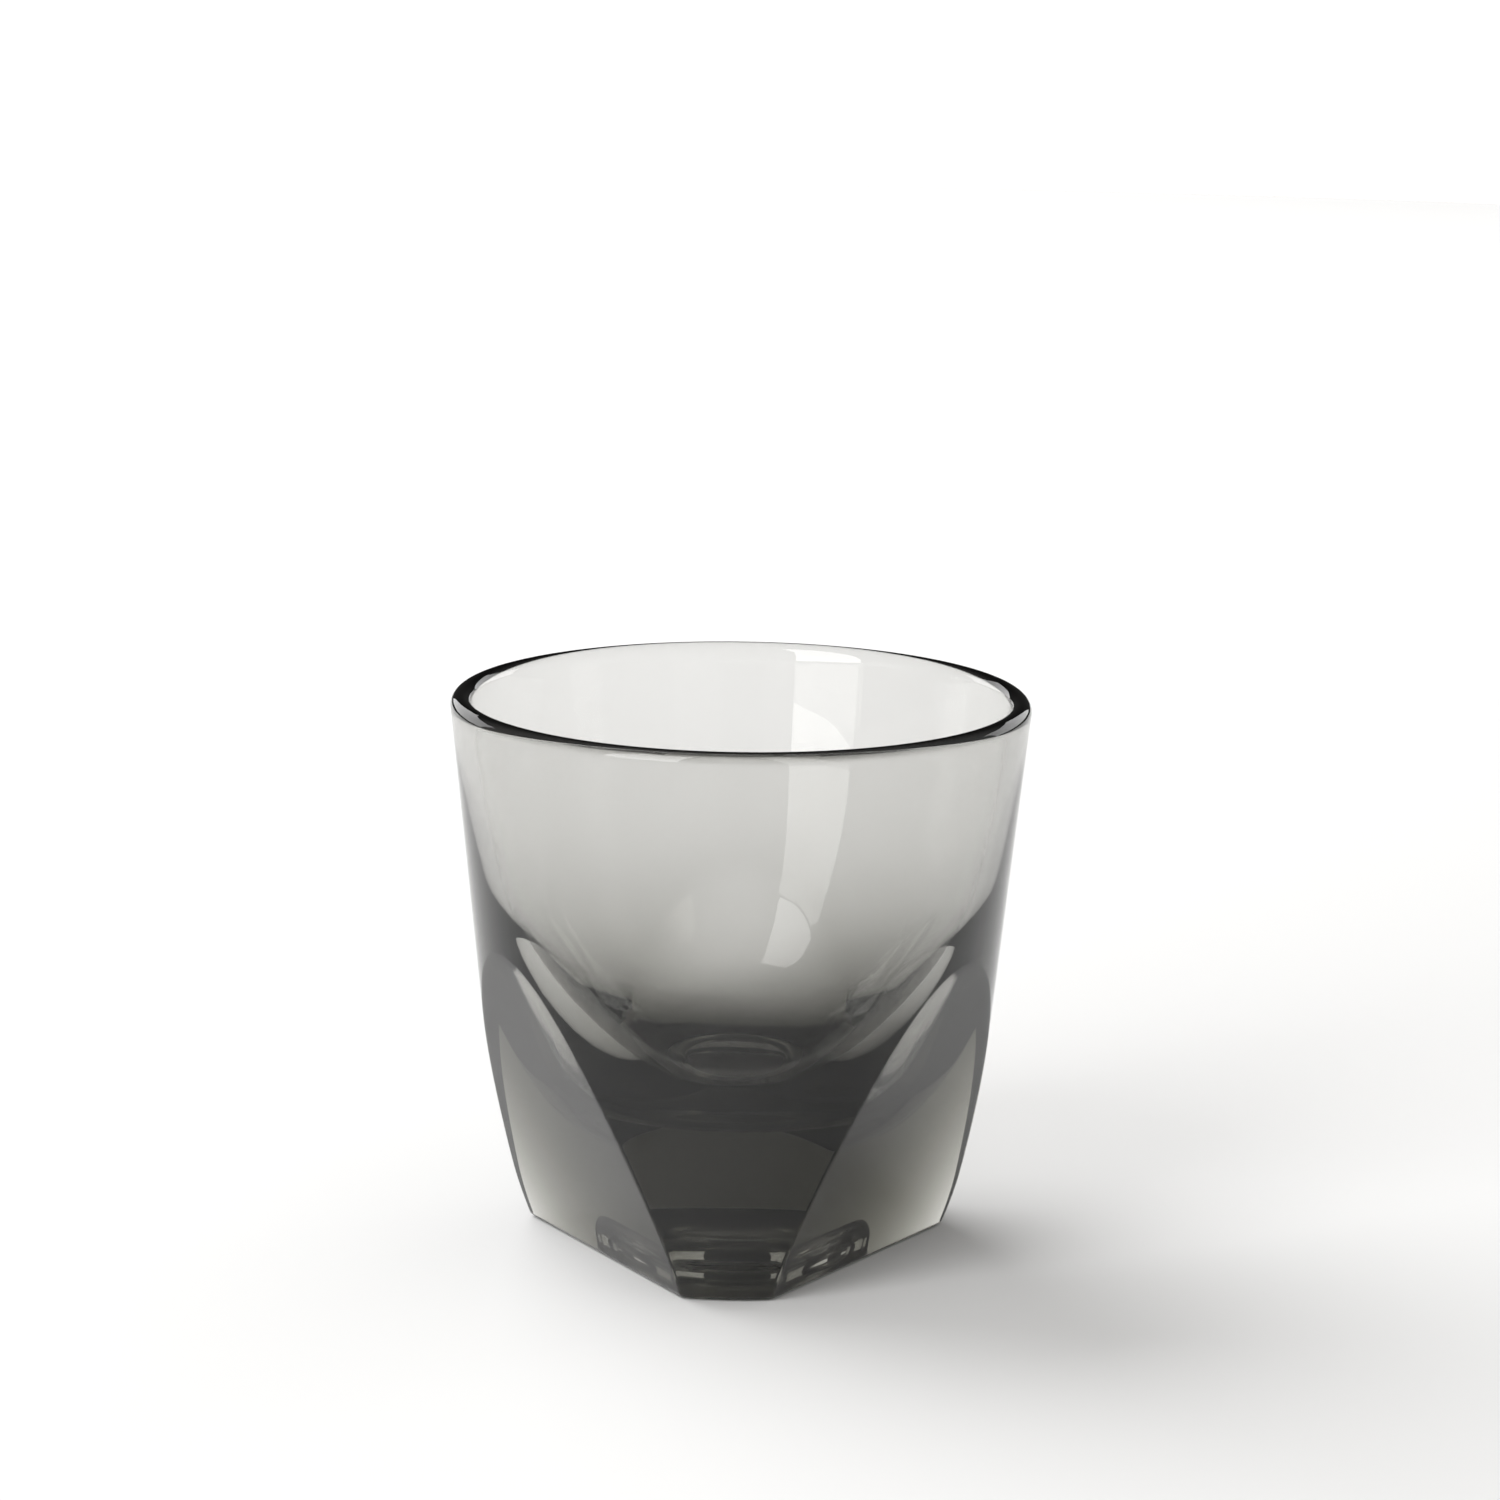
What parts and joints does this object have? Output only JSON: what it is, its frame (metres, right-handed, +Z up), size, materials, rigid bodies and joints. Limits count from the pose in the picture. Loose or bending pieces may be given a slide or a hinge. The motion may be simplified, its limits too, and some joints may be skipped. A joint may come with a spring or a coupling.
{
  "type": "whiskey tumbler",
  "caption": "Short tumbler of smoke-grey pressed glass with a round mouth, a deep round-bottomed bowl and a heavy three-cornered foot.",
  "frame": {"origin": "centre of the foot, on the surface that the tumbler stands on", "axes": "+Z up along the axis of the mouth and bowl; one of the foot's three corners points to -Y, and the flat opposite it faces +Y"},
  "size_m": [0.08, 0.08, 0.0777],
  "materials": {
    "smoke_glass": "clear smoke-grey pressed glass, fire-polished gloss"
  },
  "bodies": {
    "root": {"tumbler_glass": "smoke_glass"}
  },
  "joints": []
}
